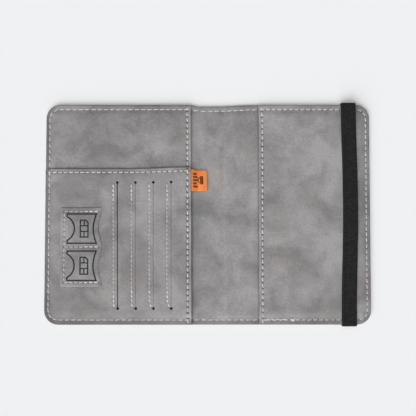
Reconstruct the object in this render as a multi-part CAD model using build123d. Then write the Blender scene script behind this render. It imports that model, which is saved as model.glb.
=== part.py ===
"""Passport holder wallet, lying open and flat. Millimetres, +Z up.

X runs across the open wallet, from the card side (-X) to the passport side (+X), and Y along the spine.
The origin is on the resting face, under the middle of the spine. Every soft sheet that crosses a fold line
is cut there, so that each stretch can move with its own body: front cover, spine or back cover.
"""

import math
import os

from build123d import *

# ---- driving dimensions -------------------------------------------------------------------------
OPEN_WIDTH = 221.0  # across both covers and the spine
HEIGHT = 150.0
CORNER_RADIUS = 9.5
SPINE_WIDTH = 10.0  # between the two fold lines
FOLD_CLEARANCE = 0.15  # each side of a fold line

HALF_WIDTH = OPEN_WIDTH / 2
HALF_HEIGHT = HEIGHT / 2
FOLD_X = SPINE_WIDTH / 2

# Sheet thicknesses
COVER_THICK = 1.0
BOARD_THICK = 0.5
SHIELD_THICK = 0.15
LINING_THICK = 0.7
TICKET_THICK = 0.8
CARD_PANEL_THICK = 0.9
PASSPORT_THICK = 0.9
PATCH_THICK = 0.7
LINER_THICK = 0.12
TAG_THICK = 0.5

# Heights: the low level is where a sheet is sewn down, the high level is its underside over what it covers
LINING_LOW = COVER_THICK
LINING_HIGH = COVER_THICK + BOARD_THICK + SHIELD_THICK + 0.05
LINING_TOP = LINING_HIGH + LINING_THICK
POCKET_LOW = LINING_LOW + LINING_THICK
TICKET_GAP = 0.4
TICKET_HIGH = LINING_TOP + TICKET_GAP
TICKET_TOP = TICKET_HIGH + TICKET_THICK
CARD_LOW = POCKET_LOW + TICKET_THICK
CARD_GAP = 0.9  # room for a 0.76 mm card and its fabric liner
CARD_HIGH = TICKET_TOP + CARD_GAP
CARD_TOP = CARD_HIGH + CARD_PANEL_THICK
PASSPORT_GAP = 1.0  # room for a passport's cover
PASSPORT_HIGH = LINING_TOP + PASSPORT_GAP
PASSPORT_TOP = PASSPORT_HIGH + PASSPORT_THICK
SIM_GAP = 0.8
PATCH_HIGH = CARD_TOP + SIM_GAP
PATCH_TOP = PATCH_HIGH + PATCH_THICK

# How far in from the wallet's edge each sheet rises, in x and in y
BOARD_INSET = (6.2, 6.9)
TICKET_INSET = (5.1, 5.8)
CARD_INSET = (4.1, 4.8)
BOARD_SPINE_X = 9.5  # the boards stop here, so that the fold lines stay soft
BOARD_CORNER = 4.8
LINING_CLEARANCE = 0.2  # between a board's edge and the lining that steps over it
SHIELD_MARGIN = 1.0
POCKET_CORNER = 5.0  # inner corner radius of the raised part of a pocket

# Card side
PANEL_EDGE_X = -11.1  # free edge of the two left-hand pockets
PANEL_SEAM_X = -13.7
PANEL_HEM = 5.4
CARD_EDGE_Y = 31.3  # free edge of the card panel
CARD_SEAM_Y = 28.8
SLIT_X = [-61.4, -49.1, -36.9, -24.8]
SLIT_SEAM_OFFSET = 2.9
SLIT_MIDDLE_Y = -20.9
SLIT_LENGTH = 85.8  # between the centres of the end holes
SLIT_WIDTH = 0.9
SLIT_HOLE_RADIUS = 0.8
LINER_WIDTH = 88.6
LINER_DEPTH = 46.0
LINER_EDGE_INSET = 12.0  # the outermost liner stops this far from the wallet's edge
LINER_LIP = 3.5
LINER_STEP = 0.2
LINER_DROP = 0.27  # from the panel's underside down to the top liner's underside

# SIM patch
PATCH_LEFT = -99.1
PATCH_RIGHT = -72.2
PATCH_WAVE = 2.4  # how far the free edge dips between the seams
PATCH_SEAM_X = -97.4
PATCH_SEAM_END = -74.2
PATCH_SEAMS_Y = [2.0, -22.1, -46.4]
PATCH_OVERHANG = 2.3  # past the outer seams
PATCH_BORDER = 1.5  # from a seam to the pocket that it closes

# Passport side
PASSPORT_EDGE_X = 34.8
PASSPORT_SEAM_X = 37.3

# Shielding tag
TAG_TOP_Y = 30.7
TAG_HEIGHT = 15.6
TAG_REACH_X = 0.0
TAG_ROOT_X = -15.4
TAG_BEND_X = -10.8
TAG_FLAT_X = -7.2
TAG_CORNER = 2.0

# Elastic band
BAND_WIDTH = 10.0
BAND_THICK = 1.0
BAND_BOTTOM = PASSPORT_TOP + 0.3
BAND_TOP = BAND_BOTTOM + BAND_THICK
BAND_CENTRES = (95.6, 97.2, 96.5)  # centre line at the upper edge, the middle and the lower edge
BAND_LEG_GAP = 0.3
BAND_LEG_BOTTOM = 2.3
TAIL_TOP = 2.0
TAIL_LENGTH = 6.0
TAIL_CLEARANCE = 0.02
TAIL_NOTCH = 0.15

# Stitching
STITCH_LENGTH = 2.8
STITCH_WIDTH = 0.6
STITCH_HEIGHT = 0.3
EDGE_PITCH = 4.3
SEAM_PITCH = 4.1
SLIT_PITCH = 3.0
SLIT_STITCH_LENGTH = 2.2
EDGE_SEAM_INSET = (2.6, 3.3)
CORNER_STITCH_ANGLES = (22.0, 68.0)

FAR = 200.0  # further than any sheet reaches


# ---- helpers ------------------------------------------------------------------------------------
def block(x, y, z):
    """A box between pairs of coordinates."""
    size = [b - a for a, b in (x, y, z)]
    middle = [(a + b) / 2 for a, b in (x, y, z)]
    return Pos(*middle) * Box(*size)


def pad(x, y, z, radius):
    """A box with rounded upright edges, between pairs of coordinates."""
    sketch = Pos((x[0] + x[1]) / 2, (y[0] + y[1]) / 2) * RectangleRounded(x[1] - x[0], y[1] - y[0], radius)
    return Pos(0, 0, z[0]) * extrude(sketch, z[1] - z[0])


def wallet_outline(z):
    """The wallet's whole outline, with rounded corners, between two heights."""
    sketch = RectangleRounded(OPEN_WIDTH, HEIGHT, CORNER_RADIUS)
    return Pos(0, 0, z[0]) * extrude(sketch, z[1] - z[0])


def clip(shape, x=(-FAR, FAR), y=(-FAR, FAR)):
    """What lies between two values of x and two of y."""
    return shape & block(x, y, (-1.0, 40.0))


def raised_sheet(window_x, window_y, low, high, thick, radius=POCKET_CORNER):
    """A sheet of the wallet's outline that lies at low, and rises to high over a window."""
    window = pad(window_x, window_y, (low - 1, high), radius)
    over_x = (window_x[0] - thick, window_x[1] + thick)
    over_y = (window_y[0] - thick, window_y[1] + thick)
    cap = pad(over_x, over_y, (low, high + thick), radius + thick)
    return wallet_outline((low, low + thick)) - window + (cap - window)


def stitch(x, y, z, angle=0.0, length=STITCH_LENGTH):
    """One stitch that lies on a sheet."""
    shape = extrude(SlotOverall(length, STITCH_WIDTH), STITCH_HEIGHT)
    return Pos(x, y, z) * Rot(0, 0, angle) * shape


def centres(first, last, pitch):
    """Evenly spaced stitch centres, half a pitch in from each end."""
    count = max(1, round((last - first) / pitch))
    step = (last - first) / count
    return [first + step * (i + 0.5) for i in range(count)]


def row_x(first, last, y, z, pitch, length=STITCH_LENGTH):
    return [stitch(x, y, z, 0.0, length) for x in centres(first, last, pitch)]


def row_y(x, first, last, z, pitch, length=STITCH_LENGTH):
    return [stitch(x, y, z, 90.0, length) for y in centres(first, last, pitch)]


# ---- covers, boards, shields and lining -----------------------------------------------------------
def body_spans():
    """The stretch of x that belongs to each body."""
    return {
        "front": (-HALF_WIDTH, -FOLD_X - FOLD_CLEARANCE),
        "spine": (-FOLD_X + FOLD_CLEARANCE, FOLD_X - FOLD_CLEARANCE),
        "back": (FOLD_X + FOLD_CLEARANCE, HALF_WIDTH),
    }


def outer_cover(span):
    return clip(wallet_outline((0, COVER_THICK)), x=span)


def inside_cover(side, inset):
    """The rectangle of x and y that a board or a raised lining covers. side is -1 for the front."""
    x = sorted((side * BOARD_SPINE_X, side * (HALF_WIDTH - inset[0])))
    y = (-HALF_HEIGHT + inset[1], HALF_HEIGHT - inset[1])
    return tuple(x), y


def stiffener(side):
    x, y = inside_cover(side, BOARD_INSET)
    return pad(x, y, (COVER_THICK, COVER_THICK + BOARD_THICK), BOARD_CORNER)


def shield(side):
    x, y = inside_cover(side, BOARD_INSET)
    low = COVER_THICK + BOARD_THICK
    inner_x = (x[0] + SHIELD_MARGIN, x[1] - SHIELD_MARGIN)
    inner_y = (y[0] + SHIELD_MARGIN, y[1] - SHIELD_MARGIN)
    return pad(inner_x, inner_y, (low, low + SHIELD_THICK), BOARD_CORNER - SHIELD_MARGIN)


def lining(side, span):
    x, y = inside_cover(side, BOARD_INSET)
    window_x = (x[0] - LINING_CLEARANCE, x[1] + LINING_CLEARANCE)
    window_y = (y[0] - LINING_CLEARANCE, y[1] + LINING_CLEARANCE)
    corner = BOARD_CORNER + LINING_CLEARANCE
    sheet = raised_sheet(window_x, window_y, LINING_LOW, LINING_HIGH, LINING_THICK, corner)
    return clip(sheet, x=span)


def spine_lining(span):
    return clip(wallet_outline((LINING_LOW, LINING_LOW + LINING_THICK)), x=span)


# ---- card side ------------------------------------------------------------------------------------
def ticket_pocket():
    """Full-height pocket, open towards the spine."""
    window_x = (-HALF_WIDTH + TICKET_INSET[0], FAR)
    window_y = (-HALF_HEIGHT + TICKET_INSET[1], HALF_HEIGHT - TICKET_INSET[1])
    sheet = raised_sheet(window_x, window_y, POCKET_LOW, TICKET_HIGH, TICKET_THICK)
    return clip(sheet, x=(-HALF_WIDTH, PANEL_EDGE_X))


def card_slit(x):
    """The cut and its two end holes, as a cutter."""
    z = (CARD_LOW, CARD_TOP + 1)
    ends = (SLIT_MIDDLE_Y - SLIT_LENGTH / 2, SLIT_MIDDLE_Y + SLIT_LENGTH / 2)
    cutter = block((x - SLIT_WIDTH / 2, x + SLIT_WIDTH / 2), ends, z)
    for y in ends:
        cutter += Pos(x, y, sum(z) / 2) * Cylinder(SLIT_HOLE_RADIUS, z[1] - z[0])
    return cutter


def card_panel():
    """Lower panel with four card slits. It is open along its upper edge and sewn to the ticket pocket."""
    hem_x = PANEL_EDGE_X - PANEL_HEM
    left = -HALF_WIDTH + CARD_INSET[0]
    bottom = -HALF_HEIGHT + CARD_INSET[1]
    thick = CARD_PANEL_THICK
    window = pad((left, FAR), (bottom, FAR), (CARD_LOW - 1, CARD_TOP), POCKET_CORNER)
    over = pad((left - thick, FAR), (bottom - thick, FAR), (CARD_LOW, CARD_TOP), POCKET_CORNER + thick)
    border = wallet_outline((CARD_LOW, CARD_LOW + thick)) - window
    cap = clip(over, x=(-FAR, hem_x + thick))
    cap -= clip(window, x=(-FAR, hem_x)) & block((-FAR, FAR), (-FAR, FAR), (0, CARD_HIGH))
    cap -= block((hem_x, FAR), (bottom, FAR), (CARD_LOW - 1, TICKET_TOP))
    hem_z = (TICKET_TOP, TICKET_TOP + thick)
    hem = block((hem_x, PANEL_EDGE_X), (bottom - thick, FAR), hem_z)
    hem_end = block((hem_x, PANEL_EDGE_X), (bottom - thick, bottom), (CARD_LOW, hem_z[1]))
    panel = clip(border + cap + hem + hem_end, x=(-HALF_WIDTH, PANEL_EDGE_X), y=(-HALF_HEIGHT, CARD_EDGE_Y))
    for x in SLIT_X:
        panel -= card_slit(x)
    tag_y = (TAG_TOP_Y - TAG_HEIGHT - 0.2, TAG_TOP_Y + 0.2)
    panel -= block((TAG_ROOT_X - 0.2, FAR), tag_y, (TICKET_TOP - 1, TICKET_TOP + TAG_THICK + 0.1))
    return panel


def card_liner(index):
    """Thin fabric pocket behind one slit, sewn in just past the slit. The first slit's liner lies on top."""
    slit = SLIT_X[index]
    left = max(slit - LINER_DEPTH, -HALF_WIDTH + LINER_EDGE_INSET)
    low = CARD_HIGH - LINER_DROP - LINER_STEP * index
    y = (SLIT_MIDDLE_Y - LINER_WIDTH / 2, SLIT_MIDDLE_Y + LINER_WIDTH / 2)
    return block((left, slit + LINER_LIP), y, (low, low + LINER_THICK))


def patch_outline(z):
    """The SIM patch, with the wavy free edge on its right."""
    top = PATCH_SEAMS_Y[0] + PATCH_OVERHANG
    bottom = PATCH_SEAMS_Y[-1] - PATCH_OVERHANG
    middle = PATCH_SEAMS_Y[1]
    points = [(PATCH_RIGHT, top)]
    for upper, lower in ((top, middle), (middle, bottom)):
        points += [(PATCH_RIGHT - PATCH_WAVE, (upper + lower) / 2), (PATCH_RIGHT, lower)]
    wave = Spline(*points)
    sides = Polyline(
        (PATCH_RIGHT, bottom), (PATCH_LEFT, bottom), (PATCH_LEFT, top), (PATCH_RIGHT, top)
    )
    return Pos(0, 0, z[0]) * extrude(make_face(wave + sides), z[1] - z[0])


def sim_patch():
    """Two SIM pockets, open along the wavy edge."""
    patch = patch_outline((CARD_TOP, CARD_TOP + PATCH_THICK))
    roofs = patch_outline((CARD_TOP, PATCH_TOP))
    caps = []
    for upper, lower in zip(PATCH_SEAMS_Y, PATCH_SEAMS_Y[1:]):
        x = (PATCH_SEAM_X + PATCH_BORDER, FAR)
        y = (lower + PATCH_BORDER, upper - PATCH_BORDER)
        patch -= block(x, y, (CARD_TOP - 1, PATCH_HIGH))
        outer = block(
            (x[0] - PATCH_THICK, FAR), (y[0] - PATCH_THICK, y[1] + PATCH_THICK), (CARD_TOP, PATCH_TOP)
        )
        caps.append((outer - block(x, y, (CARD_TOP - 1, PATCH_HIGH))) & roofs)
    for cap in caps:
        patch += cap
    return patch


def tag_root():
    """Tag from its seam under the card panel's hem, over the ticket pocket's edge and down to the fold line."""
    high = TICKET_TOP + 0.05
    low = POCKET_LOW + 0.05
    end = -FOLD_X - FOLD_CLEARANCE
    profile = [
        (TAG_ROOT_X, high),
        (TAG_BEND_X, high),
        (TAG_FLAT_X, low),
        (end, low),
        (end, low + TAG_THICK),
        (TAG_FLAT_X + 0.2, low + TAG_THICK),
        (TAG_BEND_X + 0.2, high + TAG_THICK),
        (TAG_ROOT_X, high + TAG_THICK),
    ]
    face = make_face(Polyline(*profile, close=True))
    middle_y = TAG_TOP_Y - TAG_HEIGHT / 2
    return extrude(Plane.XZ.offset(-middle_y) * face, TAG_HEIGHT / 2, both=True)


def tag_tip():
    """The end of the tag, which lies over the spine."""
    x = (-FOLD_X + FOLD_CLEARANCE, TAG_REACH_X)
    y = (TAG_TOP_Y - TAG_HEIGHT, TAG_TOP_Y)
    low = POCKET_LOW + 0.05
    tip = block(x, y, (low, low + TAG_THICK))
    corner = [e for e in tip.edges().filter_by(Axis.Z) if e.center().X > x[1] - 0.1 and e.center().Y > y[1] - 0.1]
    return fillet(corner, TAG_CORNER)


# ---- passport side ----------------------------------------------------------------------------------
def passport_pocket():
    """Pocket for a passport's back cover, open towards the spine."""
    window_x = (-FAR, HALF_WIDTH - TICKET_INSET[0])
    window_y = (-HALF_HEIGHT + TICKET_INSET[1], HALF_HEIGHT - TICKET_INSET[1])
    sheet = raised_sheet(window_x, window_y, POCKET_LOW, PASSPORT_HIGH, PASSPORT_THICK)
    return clip(sheet, x=(PASSPORT_EDGE_X, HALF_WIDTH))


def band_strip(z, grow=0.0):
    """The band seen from above: slightly bowed, and proud of the covers at both ends."""
    half = BAND_WIDTH / 2 + grow
    reach = HALF_HEIGHT + BAND_LEG_GAP + BAND_THICK
    sides = [
        [(c + s * half, y) for c, y in zip(BAND_CENTRES, (reach, 0.0, -reach))] for s in (-1, 1)
    ]
    left, right = [ThreePointArc(*side) for side in sides]
    ends = Line(sides[0][0], sides[1][0]) + Line(sides[0][2], sides[1][2])
    return Pos(0, 0, z[0]) * extrude(make_face(left + right + ends), z[1] - z[0])


def elastic_band():
    """The run across the pocket and the two ends that turn down over the cover's edges."""
    inner = HALF_HEIGHT + BAND_LEG_GAP
    strip = band_strip((BAND_LEG_BOTTOM, BAND_TOP))
    return strip - block((0, FAR), (-inner, inner), (0, BAND_BOTTOM))


def elastic_tails():
    """The ends of the band that are caught in the edge seam, between the cover and the pocket."""
    inner = HALF_HEIGHT + BAND_LEG_GAP
    low = COVER_THICK + TAIL_CLEARANCE
    flat = band_strip((low, POCKET_LOW - TAIL_CLEARANCE))
    flat -= block((0, FAR), (-HALF_HEIGHT + TAIL_LENGTH, HALF_HEIGHT - TAIL_LENGTH), (0, FAR))
    stub = band_strip((low, TAIL_TOP)) - block((0, FAR), (-inner, inner), (0, FAR))
    return flat + stub


def notch_for_tails(sheet):
    """Room in the lining's border for the band's tails."""
    strip = band_strip((LINING_LOW - 0.5, POCKET_LOW + 0.5), TAIL_NOTCH)
    start = HALF_HEIGHT - TAIL_LENGTH - TAIL_NOTCH
    return sheet - (strip - block((0, FAR), (-start, start), (0, FAR)))


# ---- stitching --------------------------------------------------------------------------------------
def sewn_height(x, y):
    """The top of the sheets where the edge seam runs."""
    if x < PANEL_EDGE_X:
        return CARD_LOW + CARD_PANEL_THICK if y < CARD_EDGE_Y else POCKET_LOW + TICKET_THICK
    if x > PASSPORT_EDGE_X:
        return POCKET_LOW + PASSPORT_THICK
    return POCKET_LOW


def edge_places():
    """(x, y, angle) of every stitch of the seam round the wallet."""
    side_x = HALF_WIDTH - EDGE_SEAM_INSET[0]
    side_y = HALF_HEIGHT - EDGE_SEAM_INSET[1]
    straight_x = HALF_WIDTH - CORNER_RADIUS
    straight_y = HALF_HEIGHT - CORNER_RADIUS
    places = []
    for i in range(int(straight_x / EDGE_PITCH)):
        x = (i + 0.5) * EDGE_PITCH
        places += [(sx * x, sy * side_y, 0.0) for sx in (-1, 1) for sy in (-1, 1)]
    for y in centres(-straight_y, straight_y, EDGE_PITCH):
        if abs(y - CARD_EDGE_Y) > STITCH_LENGTH:
            places += [(sx * side_x, y, 90.0) for sx in (-1, 1)]
    for angle in CORNER_STITCH_ANGLES:
        turn = math.radians(angle)
        x = straight_x + (side_x - straight_x) * math.cos(turn)
        y = straight_y + (side_y - straight_y) * math.sin(turn)
        for sx in (-1, 1):
            for sy in (-1, 1):
                places.append((sx * x, sy * y, sx * sy * (90.0 + angle)))
    return places


def edge_stitching(span):
    found = []
    for x, y, angle in edge_places():
        crossing = any(abs(x - edge) < STITCH_LENGTH / 2 for edge in (PANEL_EDGE_X, PASSPORT_EDGE_X))
        if span[0] - 0.2 < x < span[1] + 0.2 and not crossing:
            found.append(stitch(x, y, sewn_height(x, y), angle))
    return Compound(children=found)


def panel_edge_stitching():
    """The seam that joins the card panel to the ticket pocket, beside their free edge."""
    end = HALF_HEIGHT - CARD_INSET[1] - 1
    upper = row_y(PANEL_SEAM_X, CARD_EDGE_Y + 0.5, end - 1, TICKET_TOP, SEAM_PITCH)
    lower = row_y(PANEL_SEAM_X, -end, CARD_EDGE_Y - 0.5, TICKET_TOP + CARD_PANEL_THICK, SEAM_PITCH)
    return Compound(children=upper + lower)


def card_top_stitching():
    left = -HALF_WIDTH + CARD_INSET[0]
    right = PANEL_EDGE_X - PANEL_HEM
    return Compound(children=row_x(left, right, CARD_SEAM_Y, CARD_TOP, SEAM_PITCH))


def passport_edge_stitching():
    end = HALF_HEIGHT - TICKET_INSET[1] - 0.5
    return Compound(children=row_y(PASSPORT_SEAM_X, -end, end, PASSPORT_TOP, SEAM_PITCH))


def slit_stitching():
    ends = (SLIT_MIDDLE_Y - SLIT_LENGTH / 2, SLIT_MIDDLE_Y + SLIT_LENGTH / 2)
    rows = []
    for x in SLIT_X:
        rows += row_y(x - SLIT_SEAM_OFFSET, *ends, CARD_TOP, SLIT_PITCH, SLIT_STITCH_LENGTH)
    return Compound(children=rows)


def patch_stitching():
    z = CARD_TOP + PATCH_THICK
    start = PATCH_SEAM_X + 0.8
    rows = []
    for y in PATCH_SEAMS_Y:
        rows += row_x(start, PATCH_SEAM_END, y, z, SLIT_PITCH, SLIT_STITCH_LENGTH)
    for upper, lower in zip(PATCH_SEAMS_Y, PATCH_SEAMS_Y[1:]):
        rows += row_y(PATCH_SEAM_X, lower + 0.4, upper - 0.4, z, SLIT_PITCH, SLIT_STITCH_LENGTH)
    return Compound(children=rows)


def build():
    spans = body_spans()
    nodes = {f"outer_cover_{name}": outer_cover(span) for name, span in spans.items()}
    nodes["stiffener_board_front"] = stiffener(-1)
    nodes["stiffener_board_back"] = stiffener(1)
    nodes["shielding_sheet_front"] = shield(-1)
    nodes["shielding_sheet_back"] = shield(1)
    nodes["inner_lining_front"] = lining(-1, spans["front"])
    nodes["inner_lining_spine"] = spine_lining(spans["spine"])
    nodes["inner_lining_back"] = notch_for_tails(lining(1, spans["back"]))
    nodes["ticket_pocket"] = ticket_pocket()
    nodes["card_panel"] = card_panel()
    for index in range(len(SLIT_X)):
        nodes[f"card_pocket_liner_{index + 1}"] = card_liner(index)
    nodes["sim_patch"] = sim_patch()
    nodes["shielding_tag"] = tag_root()
    nodes["shielding_tag_tip"] = tag_tip()
    nodes["passport_pocket"] = passport_pocket()
    nodes["elastic_band"] = elastic_band()
    nodes["elastic_band_tails"] = elastic_tails()
    for name, span in spans.items():
        nodes[f"edge_stitching_{name}"] = edge_stitching(span)
    nodes["panel_edge_stitching"] = panel_edge_stitching()
    nodes["card_panel_top_stitching"] = card_top_stitching()
    nodes["card_slit_stitching"] = slit_stitching()
    nodes["sim_patch_stitching"] = patch_stitching()
    nodes["passport_pocket_stitching"] = passport_edge_stitching()
    return nodes


def main():
    os.makedirs("parts", exist_ok=True)
    for name, shape in build().items():
        export_step(shape, f"parts/{name}.step")


main()
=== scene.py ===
import math

import bpy
import numpy as np
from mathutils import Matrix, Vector, geometry, kdtree


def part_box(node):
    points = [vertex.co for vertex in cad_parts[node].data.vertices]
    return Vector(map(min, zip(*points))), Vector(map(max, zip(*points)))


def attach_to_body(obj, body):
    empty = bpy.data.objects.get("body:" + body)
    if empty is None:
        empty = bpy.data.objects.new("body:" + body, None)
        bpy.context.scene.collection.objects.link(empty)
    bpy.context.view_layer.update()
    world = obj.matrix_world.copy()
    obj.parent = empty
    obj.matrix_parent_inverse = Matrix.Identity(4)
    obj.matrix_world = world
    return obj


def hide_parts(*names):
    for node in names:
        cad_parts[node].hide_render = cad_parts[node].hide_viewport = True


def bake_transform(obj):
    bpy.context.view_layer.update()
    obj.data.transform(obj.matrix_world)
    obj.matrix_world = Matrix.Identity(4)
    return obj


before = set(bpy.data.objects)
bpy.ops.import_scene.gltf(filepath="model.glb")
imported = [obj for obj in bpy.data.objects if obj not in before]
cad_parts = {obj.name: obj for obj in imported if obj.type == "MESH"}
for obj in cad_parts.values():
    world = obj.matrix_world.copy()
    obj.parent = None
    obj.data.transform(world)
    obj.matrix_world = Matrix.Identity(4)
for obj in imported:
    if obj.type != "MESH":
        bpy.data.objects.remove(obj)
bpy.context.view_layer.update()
mm = 0.001  # all sizes below are in millimetres, and meshes are scaled by this as they're made
print("frame loaded:", len(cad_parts), "CAD nodes")


def nodeBox(node):  # lowest and highest corner
    low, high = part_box(node)
    return np.array(low) / mm, np.array(high) / mm


wallet = {
    "halfWidth": nodeBox("outer_cover_back")[1][0],
    "halfHeight": nodeBox("outer_cover_back")[1][1],
    "corner": 9.5,
    "seamSide": 2.6,  # from the edge to the edge seam, on the short sides
    "seamEnd": 3.3,  # the same along the top and bottom
    "hemSeam": 2.6,  # from the left panels' free edges to their seams
    "pocketSeam": 2.5,  # the same on the passport pocket
    "spineDip": 1.0,  # how far the upper edge sinks at the spine
    "panelLean": 0.005,  # the left panels' free edge isn't quite upright
    "hemRise": 0.9,  # the card panel's hem climbs towards the spine
    "hemSag": 0.55,  # and hangs a little at the left
    "foldHeight": 2.5,  # of the two fold lines beside the spine
    "foldBand": (1.5, 8.5),  # where the leather bends, either side of the middle
}
panelEdge, cardEdge = nodeBox("card_panel")[1][:2]  # free edges of the left-hand panels
panelSeam, cardSeam = panelEdge - wallet["hemSeam"], cardEdge - wallet["hemSeam"]
pocketEdge = nodeBox("passport_pocket")[0][0]
pocketSeam = pocketEdge + wallet["pocketSeam"]
boardLow, boardHigh = nodeBox("stiffener_board_back")

level = {  # heights of the tops of the layers
    layer: nodeBox(node)[1][2]
    for layer, node in {
        "cover": "outer_cover_back", "flat": "inner_lining_spine", "lining": "inner_lining_back",
        "ticket": "ticket_pocket", "card": "card_panel", "patch": "sim_patch", "pocket": "passport_pocket",
    }.items()
}
thick = {"cover": 0.98, "lining": 0.68, "ticket": 0.78, "card": 0.86, "patch": 0.44, "pocket": 0.88, "tag": 0.45}
air = 0.02  # between two layers that touch
opening = {"ticket": (3.2, 9.5), "card": (3.0, 9.4), "pocket": (3.2, 11)}  # in from the edge: still shut, fully open


def smooth(value, start, end):
    t = np.clip((np.asarray(value, float) - start) / (end - start), 0, 1)
    return t * t * (3 - 2 * t)


def bell(value, middle, width):  # 1 in the middle, fading away to either hand
    return np.exp(-(((value - middle) / width) ** 2))


def edgeInset(x, y):  # how far a point lies in from the wallet's outline
    r = wallet["corner"]
    qx = np.abs(x) - (wallet["halfWidth"] - r)
    qy = np.abs(y) - (wallet["halfHeight"] - r)
    outside = np.hypot(np.maximum(qx, 0), np.maximum(qy, 0))
    return r - outside - np.minimum(np.maximum(qx, qy), 0)


def settle(x, y):  # small shifts that every layer shares: sagging upper edge, leaning hems
    x, y = np.asarray(x, float), np.asarray(y, float)
    dip = smooth(x, -11.5, -5) * (1 - smooth(x, 5, 32))
    low = -wallet["spineDip"] * dip * smooth(y, 35, 72)
    hem = smooth(x, -58, -12) ** 1.4 * (1 - smooth(x, -11, -2))
    high = wallet["hemRise"] * hem * bell(y, cardEdge, 13)
    high = high - (wallet["hemSag"] - 0.35 * hem) * (1 - smooth(x, -9, -2)) * bell(y, cardEdge, 6.5)
    lean = -wallet["panelLean"] * y * bell(x, panelEdge, 14)
    return x + lean, y + low + high


def unevenness(x, y, size, seed):  # slow waves between -1 and 1
    rng = np.random.default_rng(seed)
    total = np.zeros(np.shape(x))
    for _ in range(6):
        angle, phase, stretch = rng.uniform(0, math.tau), rng.uniform(0, math.tau), rng.uniform(0.7, 1.6)
        total += np.sin((x * math.cos(angle) + y * math.sin(angle)) * math.tau / (size * stretch) + phase)
    return total / 6


def slack(layer, below, x, y):  # how far a pocket stands off what is below it
    most = level[layer] - level[below] - thick[layer] - air
    return most * smooth(edgeInset(x, y), *opening[layer])


def liningTop(x, y):  # flat over the spine, higher over the boards, with a soft ridge along their edge
    rise = smooth(np.abs(x), boardLow[0] - 5, boardLow[0] - 0.3)
    rise = rise * smooth(boardHigh[0] - np.abs(x), -3, -0.2) * smooth(boardHigh[1] - np.abs(y), -3, -0.2)
    ridge = 0.12 * bell(np.abs(x) - boardLow[0], 2.2, 1.8) * rise
    return level["flat"] + (level["lining"] - level["flat"]) * rise + ridge


def ticketTop(x, y):
    lift = slack("ticket", "lining", x, y) * (1 - 0.7 * smooth(x, -22, -13))
    visible = smooth(y, 33, 45) * smooth(edgeInset(x, y), 4, 14)
    return liningTop(x, y) + thick["ticket"] + air + lift + 0.10 * visible * unevenness(x, y, 38, 3)


def cardTop(x, y):
    across = np.interp(x, [-60, -46, -34, -21.3, -16, -11], [1, 0.84, 0.62, 0.36, 0.06, 0.0])
    lift = slack("card", "ticket", x, y) * across * (1 - 0.6 * smooth(y, cardEdge - 7, cardEdge))
    overTag = smooth(x, -18.5, -15) * smooth(y, 12.2, 15) * (1 - smooth(y, 31, 33.5))
    return ticketTop(x, y) + thick["card"] + air + lift + 0.5 * overTag


def patchTop(x, y):
    bulge = 0.22 * smooth(x, -97, -92) * (1 - bell(y, -22.1, 3))
    return cardTop(x, y) + thick["patch"] + air + bulge * smooth(y, -46, -41) * (1 - smooth(y, -3, 2))


def pocketTop(x, y):
    lift = slack("pocket", "lining", x, y) * (0.35 + 0.5 * smooth(x, 37, 62))
    wave = 0.14 * unevenness(x, y, 46, 8) * smooth(edgeInset(x, y), 5, 16)
    return liningTop(x, y) + thick["pocket"] + air + lift + wave


def alongPath(path, shares):
    path = np.array(path, float)
    run = np.concatenate([[0], np.cumsum(np.hypot(*np.diff(path, axis=0).T))])
    return np.column_stack([np.interp(np.asarray(shares) * run[-1], run, path[:, i]) for i in (0, 1)])


def pathLength(path):
    return float(np.hypot(*np.diff(np.array(path, float), axis=0).T).sum())


lineStep = 0.3  # between the points of a seam's line


def seam(path, pitch=4.2, hole=0.28, doubled=()):  # hole: its size; doubled: ranges of stitches sewn twice
    count = max(1, int(pathLength(path) / pitch))
    return {
        "centres": alongPath(path, (np.arange(count) + 0.5) / count),
        "needles": alongPath(path, np.arange(count + 1) / count),
        "line": alongPath(path, np.linspace(0, 1, int(pathLength(path) / lineStep) + 2)),
        "doubled": doubled,
        "hole": hole,
    }


def arc(x, y, rx, ry, turns):
    return [(x + rx * math.cos(a), y + ry * math.sin(a)) for a in turns]


def quarter(count):
    return np.radians(np.linspace(0, 90, count))


def seamCorner(sx, sy):  # the edge seam's rounded corner, from the top or bottom run to the side run
    r = wallet["corner"]
    x, y = sx * (wallet["halfWidth"] - r), sy * (wallet["halfHeight"] - r)
    return arc(x, y, sx * (r - wallet["seamSide"]), sy * (r - wallet["seamEnd"]), quarter(10)[::-1])


def roundSide(sx):  # the edge seam down one short side with both its corners
    return [*seamCorner(sx, 1), *seamCorner(sx, -1)[::-1]]


sideX = wallet["halfWidth"] - wallet["seamSide"]
endY = wallet["halfHeight"] - wallet["seamEnd"]
slits = {
    "top": 21.3,
    "bottom": -64.0,
    "seamOffset": 2.9,  # from a slit to the seam at its left
    "holeRadius": 0.92,  # of the round hole at each end
    "each": [  # x, width of the gap, how far the seam curls in and the slit leans at its lower end
        {"x": -61.4, "gap": 0.46, "curl": 0.2, "lean": 0.75},
        {"x": -49.1, "gap": 0.06, "curl": 0.3, "lean": 0.6},
        {"x": -36.9, "gap": 0.04, "curl": 1.3, "lean": 0.3},
        {"x": -24.8, "gap": 0.08, "curl": 1.5, "lean": 0.15},
    ],
}
patch = {
    "left": -99.5,
    "right": -71.7,
    "seamsY": [1.4, -22.6, -46.6],
    "seamX": -97.1,
    "seamEnd": -73.7,
    "wave": 2.4,  # how far the free edge dips between the seams
    "overhang": 2.9,  # past the outer seams
    "windowTops": (-0.3, -25.4),
    "windowLeft": -95.1,
    "windowRight": -75.4,
    "windowHeight": 19.8,
    "windowBow": 2.1,
    "notch": 4.9,  # depth of the thumb notch in the window's left side
    "notchMargin": 1.9,
    "lineWidth": 0.95,
    "chip": {"left": -86.2, "right": -81.0, "half": 5.7, "cut": 1.6, "line": 0.85, "pad": 0.72},
}


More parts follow.
